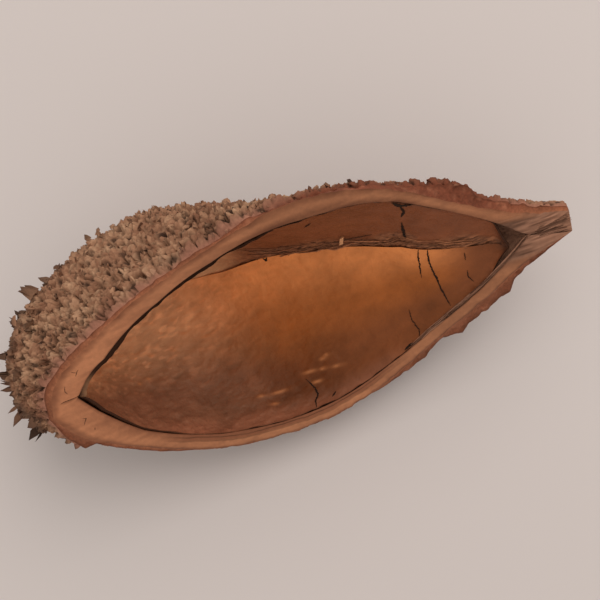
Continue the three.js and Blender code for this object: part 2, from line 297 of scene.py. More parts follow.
def grid_normals(grid):
    """Unit normals of a grid of points"""
    by_row = np.gradient(grid, axis=0)
    by_column = np.gradient(grid, axis=1)
    normal = np.cross(by_row, by_column)
    return normal / (np.linalg.norm(normal, axis=-1, keepdims=True) + 1e-9)


def read_grid(grid, row, column):
    """Points between the points of a grid"""
    r = np.clip(np.floor(row).astype(int), 0, grid.shape[0] - 2)
    c = np.clip(np.floor(column).astype(int), 0, grid.shape[1] - 2)
    down = (row - r)[:, None]
    over = (column - c)[:, None]
    first = grid[r, c] * (1 - over) + grid[r, c + 1] * over
    second = grid[r + 1, c] * (1 - over) + grid[r + 1, c + 1] * over
    return first * (1 - down) + second * down


# Mesh helpers
def grid_faces(rows, columns, first=0, flip=False):
    k = np.arange(rows * columns).reshape(rows, columns) + first
    quads = np.stack([k[:-1, :-1], k[1:, :-1], k[1:, 1:], k[:-1, 1:]], -1).reshape(-1, 4)
    return quads[:, ::-1] if flip else quads


def welded(points, faces, tint):
    """Joins points that coincide and drops the faces that vanish"""
    keys = np.round(points * 5000).astype(np.int64)
    _, kept, where = np.unique(keys, axis=0, return_index=True, return_inverse=True)
    where = where.reshape(-1)
    clean = [list(dict.fromkeys(where[list(face)].tolist())) for face in faces]
    return points[kept], [face for face in clean if len(face) > 2], tint[kept]


def make_piece(name, points, faces, tint, material, node, smooth=True):
    points, faces, tint = welded(points, faces, tint)
    mesh = bpy.data.meshes.new(name)
    mesh.from_pydata((points * MM).tolist(), [], faces)
    layer = mesh.color_attributes.new("tint", "FLOAT_COLOR", "POINT")
    layer.data.foreach_set("color", np.c_[tint, np.ones(len(tint))].ravel())
    mesh.polygons.foreach_set("use_smooth", [smooth] * len(mesh.polygons))
    mesh.materials.append(material)
    piece = bpy.data.objects.new(name, mesh)
    bpy.context.collection.objects.link(piece)
    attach(piece, "root")
    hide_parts(node)
    return piece


# Materials: the mesh tint, broken up by fine noise, with bump
def tinted_material(name, rough, grain_mm, grain_share, bump_mm, bump_depth, stretch=(1, 1, 1), shine=0.3):
    material = bpy.data.materials.new(name)
    material.use_nodes = True
    nodes = material.node_tree.nodes
    link = material.node_tree.links.new
    shader = nodes["Principled BSDF"]
    tint = nodes.new("ShaderNodeAttribute")
    tint.attribute_name = "tint"
    place = nodes.new("ShaderNodeTexCoord")
    scale = nodes.new("ShaderNodeMapping")
    scale.inputs["Scale"].default_value = [1000 * k for k in stretch]
    link(place.outputs["Object"], scale.inputs["Vector"])
    grain = nodes.new("ShaderNodeTexNoise")
    grain.inputs["Scale"].default_value = 1 / grain_mm
    grain.inputs["Detail"].default_value = 5
    link(scale.outputs["Vector"], grain.inputs["Vector"])
    spread = nodes.new("ShaderNodeMapRange")
    spread.inputs["From Min"].default_value = 0.3
    spread.inputs["From Max"].default_value = 0.7
    spread.inputs["To Min"].default_value = 1 - grain_share
    spread.inputs["To Max"].default_value = 1 + grain_share
    link(grain.outputs["Fac"], spread.inputs["Value"])
    shade = nodes.new("ShaderNodeVectorMath")
    shade.operation = "SCALE"
    link(tint.outputs["Color"], shade.inputs[0])
    link(spread.outputs["Result"], shade.inputs["Scale"])
    link(shade.outputs["Vector"], shader.inputs["Base Color"])
    relief = nodes.new("ShaderNodeTexNoise")
    relief.inputs["Scale"].default_value = 1 / bump_mm
    relief.inputs["Detail"].default_value = 6
    link(scale.outputs["Vector"], relief.inputs["Vector"])
    bump = nodes.new("ShaderNodeBump")
    bump.inputs["Strength"].default_value = 1
    bump.inputs["Distance"].default_value = bump_depth * MM
    link(relief.outputs["Fac"], bump.inputs["Height"])
    link(bump.outputs["Normal"], shader.inputs["Normal"])
    gloss = nodes.new("ShaderNodeMapRange")
    gloss.inputs["From Min"].default_value = 0.3
    gloss.inputs["From Max"].default_value = 0.7
    gloss.inputs["To Min"].default_value = rough - 0.06
    gloss.inputs["To Max"].default_value = min(1.0, rough + 0.06)
    link(grain.outputs["Fac"], gloss.inputs["Value"])
    link(gloss.outputs["Result"], shader.inputs["Roughness"])
    shader.inputs["Specular IOR Level"].default_value = shine
    shader.inputs["Specular Tint"].default_value = (1.0, 0.8, 0.62, 1)
    return material


husk_material = tinted_material("husk_scurf", 0.92, 0.9, 0.14, 0.6, 0.16)
rim_material = tinted_material("husk_rim", 0.72, 1.6, 0.1, 0.9, 0.15)
torn_material = tinted_material("husk_torn", 0.88, 0.8, 0.2, 0.6, 0.3)
lining_material = tinted_material("lining_gloss", 0.4, 6.0, 0.08, 3.2, 0.9, shine=0.18)
fibre_material = tinted_material("fibre", 0.85, 0.6, 0.25, 0.4, 0.15, stretch=(0.25, 1, 1))

TAN_LIGHT = srgb(188, 146, 114)
TAN = srgb(168, 123, 94)
TAN_DARK = srgb(142, 98, 74)
# Painted shade for the crevices between the tubercles and at the torn band's outer edge
CREVICE_SHADE = srgb(58, 34, 22)
# Painted shade for the sunken pits
PIT_SHADE = srgb(48, 32, 26)
HUSK_PINK = srgb(150, 102, 82)
TIP_DARK = srgb(70, 52, 44)
RIM_TAN = srgb(212, 140, 98)
RIM_DARK = srgb(132, 78, 53)
TORN_RED = srgb(122, 66, 46)
TORN_PALE = srgb(158, 98, 72)
# Painted shade colour for the wall of the hollow seen through the slits
WALL_SHADE = srgb(70, 44, 31)
LINING_BRIGHT = srgb(230, 140, 78)
LINING_MID = srgb(163, 90, 41)
LINING_LOW = srgb(94, 46, 18)
LINING_LEFT = srgb(214, 155, 110)
LINING_LOW_LEFT = srgb(138, 91, 66)
LINING_LOW_RIGHT = srgb(124, 68, 36)
LINING_LIP = srgb(150, 94, 68)
LINING_RIGHT = srgb(121, 68, 40)
# Far panel of the lining, darkened with painted shade; darker copies of it paint the shade of the lips and
# underside
LINING_FAR_SHADE = srgb(128, 72, 44)
LINING_LEDGE = srgb(186, 120, 82)
CRACK_DARK = srgb(34, 18, 11)
# Painted glint colour of the raised streaks
STREAK_GLINT = srgb(222, 142, 88)
FIBRE_DARK = srgb(84, 52, 37)
FIBRE_LIGHT = srgb(172, 124, 98)


# Outside of the husk
stations = np.linspace(0, 1, STATIONS + 1)


def torn(x, side):
    """How far the torn outer edge stands in or out"""
    seed = 5 if side > 0 else 6
    line = np.stack([x, np.zeros_like(x), np.zeros_like(x)], -1)
    coarse = noise(line, 5.5, seed)
    fine = noise(line, 1.7, seed + 10)
    out = read_table(TORN_OUT_FAR if side > 0 else TORN_OUT_NEAR, x)
    return out + read_table(TORN_EDGE, x) * (0.7 * coarse + (0.5 if side > 0 else 0.25) * fine)


def even_columns(fine, count):
    """Each row of a fine grid, read at evenly spaced points"""
    rows = []
    for row in fine:
        length = np.r_[0, np.cumsum(np.linalg.norm(np.diff(row, axis=0), axis=1) + 1e-9)]
        at = np.linspace(0, length[-1], count)
        rows.append(np.stack([np.interp(at, length, row[:, k]) for k in range(3)], -1))
    return np.array(rows)


def outside_grid():
    edge = outer_edge(stations)
    keel = outer_keel(stations)[:, None]
    turn = np.linspace(0, 0.5, 121)[None]
    halves = []
    for side, turns, columns in ((1, turn, FAR_COLUMNS), (-1, turn + 0.5, NEAR_COLUMNS)):
        out = torn(edge[:, 0], side) * smoothstep(0, 8, edge[:, 1])
        hold = smoothstep(0.1, 0.95, np.abs(np.cos(np.pi * turns)))
        ragged = np.repeat(edge[:, None], turns.shape[1], axis=1)
        ragged[..., 1] = np.maximum(ragged[..., 1] + out[:, None] * hold, 0)
        fine = section(ragged, keel, np.broadcast_to(turns, ragged.shape[:2]), SWAY_OUTSIDE)
        halves.append(even_columns(fine, columns))
    return np.concatenate([halves[0], halves[1][:, 1:]], axis=1)


def scatter_on(grid, step):
    """Rows and columns of places on the grid, in jittered rings about one step apart"""
    spine = grid[:, FAR_COLUMNS - 1]
    along = np.r_[0, np.cumsum(np.linalg.norm(np.diff(spine, axis=0), axis=1))]
    places = set()
    for k, at in enumerate(np.arange(step, along[-1], 0.88 * step)):
        ring = grid[np.searchsorted(along, at)]
        around = np.r_[0, np.cumsum(np.linalg.norm(np.diff(ring, axis=0), axis=1))]
        for start in np.arange(0.4 + 0.5 * (k % 2), around[-1] / step) * step:
            aside, ahead = rng.uniform(-0.45, 0.45, 2) * step
            row = np.searchsorted(along, np.clip(at + ahead, 0.3, along[-1] - 0.3))
            column = np.searchsorted(around, np.clip(start + aside, 0.3, around[-1] - 0.3))
            places.add((min(row, STATIONS), min(column, len(ring) - 1)))
    return np.array(sorted(places))


def make_crumbs(points, seeds, tilts, edge):
    """For each point: its crumb, how far it is inside the crumb, and the crumb's sloping top there"""
    tree = kdtree.KDTree(len(seeds))
    for k, seed in enumerate(seeds):
        tree.insert(seed, k)
    tree.balance()
    warp = np.stack([noise(points, 1.6, 20 + k) for k in range(3)], -1)
    near = [tree.find_n(p, 2) for p in points + 0.7 * warp]
    own = np.array([pair[0][1] for pair in near])
    inside = smoothstep(0, edge, np.array([pair[1][2] - pair[0][2] for pair in near]))
    apart = points - seeds[own]
    peak = 0.8 * np.maximum(0, 1 - np.linalg.norm(apart, axis=1) / 1.6)
    return own, inside, np.sum(tilts[own] * apart, axis=1) + peak


def random_tilts(count, low, high, common):
    """Slopes of crumbs: a random part and a part they share, up toward the blunt end and the keel"""
    tilts = rng.normal(size=(count, 3))
    tilts = tilts / np.linalg.norm(tilts, axis=1, keepdims=True) * rng.uniform(low, high, (count, 1))
    return tilts - common * (0.7 * ALONG + 0.7 * RIM_UP)


def pit_share(points, grid):
    """1 in sparse sunken pits between the tubercles, painted dark there as shade; 0 elsewhere"""
    places = scatter_on(grid, PIT_STEP)
    places = places[rng.uniform(size=len(places)) < 0.8]
    wide = rng.uniform(0.6, 1.35, len(places))
    tree = kdtree.KDTree(len(places))
    for k, (row, column) in enumerate(places):
        tree.insert(grid[row, column], k)
    tree.balance()
    warp = np.stack([noise(points, 1.3, 36 + k) for k in range(3)], -1)
    near = [tree.find(p) for p in points + 0.8 * warp]
    apart = np.array([found[2] for found in near]) / wide[[found[1] for found in near]]
    return np.exp(-(apart**4))


def raise_outside(grid, normals):
    """Tubercles over the outside: big wedges broken into small crumbs"""
    points = grid.reshape(-1, 3)
    big = scatter_on(grid, TUBERCLE_STEP)
    big = big[rng.uniform(size=len(big)) > 0.22]
    small = scatter_on(grid, CRUMB_STEP)
    big_seeds = grid[big[:, 0], big[:, 1]]
    small_seeds = grid[small[:, 0], small[:, 1]]
    big_high = rng.uniform(0.1, 1.9, len(big))
    small_high = rng.uniform(0, 0.3, len(small))
    big_tilts = random_tilts(len(big), 0.25, 0.7, 0.35)
    small_tilts = random_tilts(len(small), 0.1, 0.45, 0.15)
    own, crown, slope = make_crumbs(points, big_seeds, big_tilts, 0.7)
    bit, bit_crown, bit_slope = make_crumbs(points, small_seeds, small_tilts, 0.5)
    crag = 0.22 * noise(points, 0.8, 31) + 0.2 * noise(points, 1.9, 32)
    split = 0.3 + 0.7 * smoothstep(-0.1, 0.4, noise(points, 3.6, 35))
    crown = 1 - split * (1 - crown)
    pit = pit_share(points, grid)
    lift = crown * (big_high[own] + slope) + bit_crown * (small_high[bit] + bit_slope) + crag
    lift = lift - 0.9 * (1 - crown) - 1.1 * pit
    along = points[:, 0] - BOAT_AT[0]
    reach = read_table(TUBERCLE_REACH, along)
    to_far = np.linalg.norm(grid - grid[:, :1], axis=-1)
    to_near = np.linalg.norm(grid - grid[:, -1:], axis=-1)
    edge_gap = np.minimum(to_far, to_near).reshape(-1)
    calm = smoothstep(0, 0.8, edge_gap) * (0.35 + 0.65 * smoothstep(1, 7, to_near.reshape(-1)))
    lift = lift * reach * calm
    raised = points + normals.reshape(-1, 3) * lift[:, None]
    raised[:, 2] = np.maximum(raised[:, 2], GROUND_GAP)
    tone = 0.5 * rng.uniform(0, 1, len(big))[own] + 0.5 * rng.uniform(0, 1, len(small))[bit]
    tone = tone + 0.35 * noise(points, 9.0, 33)
    shade = mix(TAN_DARK, TAN, np.clip(2 * tone, 0, 1))
    shade = mix(shade, TAN_LIGHT, np.clip(2 * tone - 1, 0, 1))
    pink = (1 - smoothstep(0.5, 4.5, edge_gap)) * (0.6 + 0.4 * noise(points, 2.5, 34))
    shade = mix(shade, HUSK_PINK, np.clip(pink, 0, 1))
    worn = smoothstep(62, 76, along)
    red = (1 - smoothstep(3, 11, edge_gap)) * smoothstep(-5, 25, along) * (1 - 0.8 * worn)
    shade = mix(shade, TORN_RED * 0.9, 0.85 * red)
    # Low part of the blunt end near the floor: a pinker tone of the husk, plus darkening as painted shade
    # where it faces down
    low_end_shade = (1 - smoothstep(-78, -56, along)) * (1 - smoothstep(12, 34, points[:, 2]))
    shade = mix(shade, HUSK_PINK * 0.75, 0.5 * low_end_shade) * (1 - 0.3 * low_end_shade)[:, None]
    # Crevices between the crumbs darkened: painted shade
    shade = mix(CREVICE_SHADE, shade, 0.15 + 0.85 * crown**0.8 * (0.85 + 0.15 * bit_crown))
    column = np.broadcast_to(np.arange(grid.shape[1]), grid.shape[:2]).reshape(-1)
    away = smoothstep(0.45, 0.9, column / FAR_COLUMNS)
    shade = mix(shade, TIP_DARK, 0.75 * away * smoothstep(1.3, 2.7, lift))
    # Pits darkened: painted shade in the sunken pits
    shade = mix(shade, PIT_SHADE, 0.9 * pit)
    fringe = mix(HUSK_PINK * 1.3, TORN_RED, smoothstep(-5, 15, along) * (1 - 0.8 * worn))
    shade = mix(fringe, shade, smoothstep(0.1, 0.9, edge_gap))
    return raised.reshape(grid.shape), shade.reshape(grid.shape), big


base_outside = outside_grid()
outside_normals = grid_normals(base_outside)
outside, outside_tint, tubercles = raise_outside(base_outside, outside_normals)
keel_column = FAR_COLUMNS - 1


def make_outside(name, part):
    points = outside[:, part]
    faces = grid_faces(*points.shape[:2])
    tint = outside_tint[:, part].reshape(-1, 3)
    make_piece(name, points.reshape(-1, 3), faces, tint, husk_material, "husk")


make_outside("husk_far_flank", slice(0, keel_column + 1))
make_outside("husk_near_flank", slice(keel_column, None))


# Pointed flakes standing on the tubercles, in tufts at the blunt end
def add_blade(points, faces, tints, root, rise, wide, body, top):
    """Thin three-sided blade from its root to a point"""
    side = np.cross(rise, rng.normal(size=3))
    side /= np.linalg.norm(side)
    flat = np.cross(rise, side) / np.linalg.norm(rise)
    bend = side * rng.uniform(-0.4, 0.4) * np.linalg.norm(rise)
    first = len(points)
    for share, narrow in ((0, 1.0), (0.6, 0.85)):
        middle = root + rise * share + bend * share**2
        for a, b in ((-1, -0.15), (1, -0.2), (0.2, 0.35)):
            points.append(middle + wide * narrow * rng.uniform(0.7, 1.3) * (side * a + flat * b))
    points.append(root + rise + bend)
    for k in range(3):
        n = (k + 1) % 3
        faces.append((first + k, first + n, first + 3 + n, first + 3 + k))
        faces.append((first + 3 + k, first + 3 + n, first + 6))
    tints += [body] * 3 + [mix(body, top, 0.5)] * 3 + [top]


def make_flakes():
    points, faces, tints = [], [], []
    for row, column in tubercles:
        x = base_outside[row, column][0] - BOAT_AT[0]
        root = outside[row, column] - 0.5 * outside_normals[row, column]
        below = column > keel_column + 0.5 * NEAR_COLUMNS
        if x > 80 or root[2] < 5 or rng.uniform() > (0.03 if below else 0.42):
            continue
        reach = 0.4 + 0.6 * read_table(TUBERCLE_REACH, x)
        shaggy = 0.75 if column > keel_column else 0.3
        tuft = x < -70 and column > 0.4 * keel_column and not below and rng.uniform() < shaggy
        body = outside_tint[row, column] * rng.uniform(0.8, 1.15)
        away = min(column, keel_column) / keel_column
        lean = rng.normal(size=3) * 0.5
        for _ in range(4 if tuft else rng.integers(1, 3)):
            dark = rng.uniform() < 0.25 + 0.6 * away
            top = TIP_DARK if dark or tuft else mix(body, TAN_LIGHT, 0.6)
            taller = 1.3 if tuft and column > keel_column else 1
            high = taller * (rng.uniform(1.4, 2.6) if tuft else rng.uniform(0.7, 1.3))
            rise = (outside_normals[row, column] + lean + 0.3 * rng.normal(size=3)) * high * reach
            start = root + rng.normal(size=3) * (0.6 if tuft else 0.3)
            wide = rng.uniform(0.7, 1.3) * (1.4 if tuft else 1)
            add_blade(points, faces, tints, start, rise, wide, body, mix(body, top, 0.8))
    points = np.array(points)
    points[:, 2] = np.maximum(points[:, 2], GROUND_GAP)
    make_piece("husk_flakes", points, faces, np.array(tints), husk_material, "husk", smooth=False)


make_flakes()


# Rim: torn red band, light smooth band, and the way down into the hollow
def rim_lines(side):
    """Outer edge, outer line of the light band and mouth edge of one side"""
    far = np.full(len(stations), side > 0)
    band = band_edge(stations)
    band[:, 1] += far * read_table(BAND_OUT_FAR, band[:, 0]) * np.minimum(1, band[:, 1] / 6)
    mouth = mouth_side(stations, far)
    wave = 0.35 * noise(band, 3.0, 41 + side) + 0.2 * noise(band, 1.1, 43 + side)
    out = band[:, 1] + wave * smoothstep(0, 6, band[:, 1])
    edge_line = base_outside[:, 0] if side > 0 else base_outside[:, -1]
    band_line = to_lying(band[:, 0], side * out, band[:, 2], SWAY_BAND)
    mouth_line = to_lying(mouth[:, 0], side * mouth[:, 1], mouth[:, 2], SWAY_MOUTH)
    return edge_line, band_line, mouth_line


def torn_rows(side, edge_line, band_line):
    like_rim = read_table(TORN_RIM_FAR if side > 0 else TORN_RIM_NEAR, band_edge(stations)[:, 0])
    wide = np.linalg.norm(band_line - edge_line, axis=1)
    rows, tints = [], []
    for f in np.linspace(0, 1, TORN_ROWS):
        row = edge_line * (1 - f) + band_line * f
        rough = 0.7 * noise(row, 1.3, 51) + 0.5 * noise(row, 3.1, 52) - 0.3
        rows.append(row + RIM_UP * (rough * math.sin(math.pi * f) * smoothstep(0.8, 4, wide))[:, None])
        pale = smoothstep(0.1, 0.8, noise(row, 1.7, 53))
        tint = mix(TORN_RED, TORN_PALE, 0.6 * pale)
        rim = mix(RIM_DARK, RIM_TAN, 0.25 if side > 0 else 0.42)
        tint = mix(tint, rim, like_rim * (0.25 + 0.75 * f))
        # Darkened where the torn band meets the outside: painted shade in that crevice
        tint = mix(tint, CREVICE_SHADE, np.full(len(row), 0.4 * (1 - smoothstep(0, 0.3, f))))
        tints.append(tint * (1 + 0.2 * noise(row, 4.0, 57))[:, None])
    return np.stack(rows, 1), np.stack(tints, 1)


def set_back(mouth, keel):
    """Mouth and keel lines of the wall, a little behind the lining"""
    return (
        mouth + WALL_BACK * np.minimum(1, mouth[..., 1:2] / 8) * np.array([0, 1, 0.3]),
        keel + WALL_BACK * np.minimum(1, keel[..., 2:] / 10) * np.array([0, 0, 1]),
    )


def wall_tint(points):
    """Dark behind the lining as painted shade of the slits, fibrous where the hollow runs out to the stalk
    """
    fibre = mix(FIBRE_DARK, FIBRE_LIGHT, 0.6 + 0.3 * noise(points @ RIM_SLANT, (6.0, 0.8, 0.8), 61))
    return mix(WALL_SHADE, fibre, smoothstep(48, 58, points[..., 0] - BOAT_AT[0]))


def band_rows(side, band_line, mouth_line):
    x = band_edge(stations)[:, 0]
    dim = read_table(RIM_DIM_FAR if side > 0 else RIM_DIM_NEAR, x)
    step = smoothstep(-66, -54, x) * (1 - smoothstep(10, 36, x)) * (side < 0)
    inner = read_table(RIM_INNER_FAR if side > 0 else RIM_INNER_NEAR, x)
    rows, tints = [], []
    for f in np.linspace(0, 1, BAND_ROWS + 1):
        row = band_line * (1 - f) + mouth_line * f
        crown = 0.5 * smoothstep(0, 0.2, f) * (1 - 0.5 * f**3)
        step_at = 0.58 + 0.06 * noise(row, 7.0, 59)
        below_step = step * smoothstep(step_at, step_at + 0.08, f)
        upper_line = np.exp(-(((f - step_at) / 0.035) ** 2))
        lower_line = np.exp(-(((f - step_at - 0.22) / 0.03) ** 2))
        line = step * (upper_line + lower_line)
        rough = crown + 0.14 * noise(row, 4.0, 54) - 0.3 * line - 0.25 * below_step
        pinch = np.exp(-(((stations - 0.031 + 0.0235 * f) / 0.0035) ** 2)) * (side > 0)
        groove = pinch * smoothstep(0.15, 0.5, f)
        rows.append(row + RIM_UP * ((rough - 0.7 * groove) * (0 < f < 1))[:, None])
        streak = 0.5 * noise(row @ RIM_SLANT, (11.0, 1.3, 1.3), 55) + 0.5 * noise(row, 6.0, 56)
        outer = 0.6 * (1 - smoothstep(0.05, 0.32, f)) + inner * smoothstep(0.4, 1, f)
        tint = mix(RIM_TAN, RIM_DARK, np.clip(0.12 + 0.35 * streak + outer, 0, 1))
        # Darkened at the mouth edge where the rim turns down into the hollow: painted shade
        tint = mix(tint, RIM_DARK * 0.7, np.full(len(row), 0.55 * smoothstep(0.9, 1, f)))
        # Near rim below its step darkened: painted shade
        tint = mix(tint, RIM_DARK * 1.35, 0.8 * below_step)
        tint = mix(tint, CRACK_DARK, np.clip(0.5 * line + 0.45 * groove, 0, 0.75))
        fibrous = mix(FIBRE_DARK, FIBRE_LIGHT, 0.45 + 0.4 * noise(row @ RIM_SLANT, (5.0, 0.6, 0.6), 58))
        fibrous = fibrous * (read_table([(60, 1), (74, 0.9), (88, 1.75)], x) * (1 - 0.3 * f))[:, None]
        woody = smoothstep(66, 80, x) * (0.2 + 0.6 * f) + smoothstep(72, 84, x)
        tint = mix(tint * dim[:, None], fibrous, np.minimum(woody, 1))
        tints.append(tint)
    mouth = mouth_side(stations, np.full(len(stations), side > 0))
    keel = cavity_keel(stations)
    for turn in LIP_TURNS:
        turns = np.full(len(stations), turn if side > 0 else 1 - turn)
        rows.append(section(*set_back(mouth, keel), turns, SWAY_MOUTH))
        tints.append(wall_tint(rows[-1]))
    return np.stack(rows, 1), np.stack(tints, 1)


rim_tops = {}
for side, word in ((1, "far"), (-1, "near")):
    edge_line, band_line, mouth_line = rim_lines(side)
    band = band_rows(side, band_line, mouth_line)
    rim_tops[side] = band[0][:, : BAND_ROWS + 1]
    for name, (points, tint), material in (
        ("husk_torn_" + word, torn_rows(side, edge_line, band_line), torn_material),
        ("husk_rim_" + word, band, rim_material),
    ):
        faces = grid_faces(*points.shape[:2], flip=side > 0)
        make_piece(name, points.reshape(-1, 3), faces, tint.reshape(-1, 3), material, "husk")


# Wall of the hollow, behind the lining, painted dark as shade
def make_hollow():
    shares = np.linspace(0, 1, 121)
    turns = np.linspace(0.09, 0.91, 61)
    turn = np.broadcast_to(turns, (121, 61))
    edge = mouth_side(shares[:, None], turn <= 0.5)
    keel = cavity_keel(shares)[:, None]
    points = section(*set_back(edge, keel), turn, SWAY_MOUTH).reshape(-1, 3)
    faces = grid_faces(121, 61, flip=True)
    make_piece("husk_hollow", points, faces, wall_tint(points), torn_material, "husk")


make_hollow()


# Stalk: fibrous top between the two bands and the cut end
def make_stalk_top():
    x = np.linspace(MOUTH_EDGE[-1][0], BAND_EDGE[-1][0], 40)[:, None]
    share = np.linspace(-1, 1, 25)[None]
    half = BAND_EDGE[-1][1] * (x - x[0]) / (x[-1] - x[0])
    flat = np.stack([x + 0 * share, half * share, 0 * x + 0 * share], -1)
    groove = 0.2 * noise(flat, (7.0, 0.9, 1.0), 71) + 0.1 * noise(flat, (2.0, 0.5, 1.0), 72)
    depth = 0.6 * (1 - (x - x[0]) / (x[-1] - x[0])) - groove * (1 - share**8)
    points = to_lying(flat[..., 0], flat[..., 1], depth, SWAY_MOUTH)
    tint = mix(FIBRE_DARK, FIBRE_LIGHT, 0.7 + 0.3 * noise(flat, (5.0, 0.6, 1.0), 73))
    # Darkened towards the hollow end: painted shade of the throat; lighter towards the cut end
    tint = tint * read_table([(74, 0.55), (81, 0.95), (88, 1.2)], flat[..., 0])[..., None]
    faces = grid_faces(40, 25)
    make_piece("stalk_top", points.reshape(-1, 3), faces, tint.reshape(-1, 3), fibre_material, "husk")


def make_stalk_end():
    band = band_edge(np.array(1.0))
    corners = [to_lying(band[0], side * band[1], band[2], SWAY_BAND) for side in (-1, 1)]
    loop = np.vstack([outside[-1], corners])
    middle = loop.mean(axis=0)
    rings = [middle + (loop - middle) * share for share in (1.0, 0.75, 0.5, 0.25)]
    rings += [np.repeat(middle[None], len(loop), axis=0)]
    rings = np.stack([np.vstack([ring, ring[:1]]) for ring in rings])
    pit = 0.7 * noise(rings, 1.1, 74) - 0.4
    pit[0] = 0
    pit[-1] = pit[-1, 0]
    points = (rings + ALONG * pit[..., None]).reshape(-1, 3)
    tint = mix(FIBRE_LIGHT, TAN_DARK, 0.5 + 0.5 * noise(points, 0.9, 75))
    make_piece("stalk_end", points, grid_faces(*rings.shape[:2], flip=True), tint, fibre_material, "husk")


make_stalk_top()
make_stalk_end()


# Lining of the hollow
def lining_x(x):
    low, high = MOUTH_EDGE[0][0], MOUTH_EDGE[-1][0]
    return LINING_ENDS[0] + (LINING_ENDS[1] - LINING_ENDS[0]) * (x - low) / (high - low)


def mouth_half(x, far):
    """Half width of the mouth at a place along the half pod"""
    near_line, far_line = (mouth_side(np.linspace(0, 1, 401), np.full(401, k)) for k in (False, True))
    near_half = np.interp(x, near_line[:, 0], near_line[:, 1])
    return np.where(far, np.interp(x, far_line[:, 0], far_line[:, 1]), near_half)


def lining_edge(s, far, thick):
    edge = mouth_side(s, far)
    ease = np.minimum(1, edge[..., 1] / 8)
    gap = np.where(far, read_table(LIP_GAP_FAR, edge[..., 0]), read_table(LIP_GAP_NEAR, edge[..., 0]))
    drop = LIP_DROP_MID + (np.where(far, LIP_DROP_FAR, LIP_DROP_NEAR) - LIP_DROP_MID) * ease
    x = lining_x(edge[..., 0]) * (1 - thick / LINING_HALF_LENGTH)
    blunt = smoothstep(-50, -10, x)
    half = edge[..., 1] * (1 - blunt) + mouth_half(x, far) * blunt
    flat = np.stack([x, half, half * 0], -1)
    ragged = 0.3 * noise(flat, 2.5, 80) + 0.35 * noise(flat, 8.0, 79)
    point = np.minimum(1, edge[..., 1] / np.where(far, 3, 7))
    return np.stack([x, (half - gap - LIP_THIN * thick + ragged) * point, edge[..., 2] + drop], -1)


def lining_keel(s, thick, near_step):
    keel = cavity_keel(s)
    deep = np.minimum(1, (keel[..., 2] - MOUTH_EDGE[0][2]) / 10)
    depth = keel[..., 2] + LIP_DROP_MID * (1 - deep) - (FLOOR_GAP + thick) * deep
    depth = depth - near_step * np.clip((depth - 2) / 12, 0, 1)
    x = lining_x(keel[..., 0]) * (1 - thick / LINING_HALF_LENGTH)
    return np.stack([x, np.zeros_like(depth), depth], -1)


def lining_point(s, turn, thick):
    s, turn = np.broadcast_arrays(s, turn)
    thick = thick * (1 - 0.85 * smoothstep(0.88, 1, s))
    far = turn <= 0.5
    step = np.where(far, 0, CREASE_STEP * smoothstep(0.38, 0.52, s) * (thick > 0))
    point = section(lining_edge(s, far, thick), lining_keel(s, thick, step), turn, SWAY_LINING)
    hang = np.where(far, 0, read_table(OVERHANG, s) * (1 - smoothstep(0.5, 0.64, turn)) * (thick > 0))
    return point + ACROSS * hang[..., None]


def lining_normal(s, turn):
    """Unit normal of the visible skin, into the hollow"""
    s, turn = np.broadcast_arrays(s, turn)
    step = 0.002
    low = np.where(turn <= 0.5, 0, 0.5 + CREASE_TURN)
    high = np.where(turn <= 0.5, 0.5, 1)
    ahead = lining_point(np.minimum(s + step, 1), turn, LINING_THICK)
    behind = lining_point(np.maximum(s - step, 0), turn, LINING_THICK)
    after = lining_point(s, np.minimum(turn + step, high), LINING_THICK)
    before = lining_point(s, np.maximum(turn - step, low), LINING_THICK)
    normal = np.cross(after - before, ahead - behind)
    return normal / (np.linalg.norm(normal, axis=-1, keepdims=True) + 1e-9)


def lining_top(s, turn, lift=0.0):
    """Visible skin, gently swollen and wrinkled, rough on the ledge above the crease"""
    s, turn = np.broadcast_arrays(np.asarray(s, float), np.asarray(turn, float))
    point = lining_point(s, turn, LINING_THICK)
    swell = 0.35 * noise(point, 15.0, 81) + 0.15 * noise(point, 6.0, 82)
    wrinkle = 0.3 * wrinkles(s, point)
    inner = smoothstep(0, 0.05, turn) * smoothstep(0, 0.05, 1 - turn)
    ledge = ledge_share(s, turn)
    rough = 0.45 * noise(point, (2.6, 0.8, 0.8), 85) + 0.2 * noise(point, 0.7, 86)
    height = (swell + wrinkle) * inner + rough * ledge + 0.25 * glint_streak_share(point) + lift
    return point + lining_normal(s, turn) * height[..., None]


def wrinkles(s, point):
    """Lumps of the skin from -1 to 1, stretched along the half pod, strongest at the blunt end"""
    drift = np.stack([noise(point, 9.0, 91 + k) for k in range(3)], -1)
    slanted = point @ SLANT + 1.6 * drift
    lumps = 0.55 * noise(slanted, (5.0, 1.9, 3.0), 83) + 0.45 * noise(slanted, (2.4, 0.9, 1.4), 84)
    return lumps * (1 - 0.6 * smoothstep(0.3, 0.65, s))


def glint_fleck_share(s, turn, point):
    """1 in short painted glint flecks of the skin at the blunt end, 0 elsewhere"""
    slanted = point @ SLANT + 0.8 * np.stack([noise(point, 4.0, 91 + k) for k in range(3)], -1)
    fleck = smoothstep(0.1, 0.8, noise(slanted, (3.0, 0.9, 1.4), 94))
    patch = (1 - smoothstep(0.25, 0.55, s)) * (1 - smoothstep(0.72, 0.9, turn))
    return fleck * patch


def glint_streak_share(point):
    """1 along short raised streaks of the skin that carry painted glints, 0 elsewhere"""
    total = 0
    for s, turn, length in GLINT_STREAKS:
        apart = point - lining_point(np.array(s), np.array(turn), LINING_THICK)
        along = apart @ STREAK_ALONG
        across = np.linalg.norm(apart - along[..., None] * STREAK_ALONG, axis=-1)
        total = total + np.exp(-((along / length) ** 2) - (across / 0.5) ** 2)
    return np.minimum(total, 1)


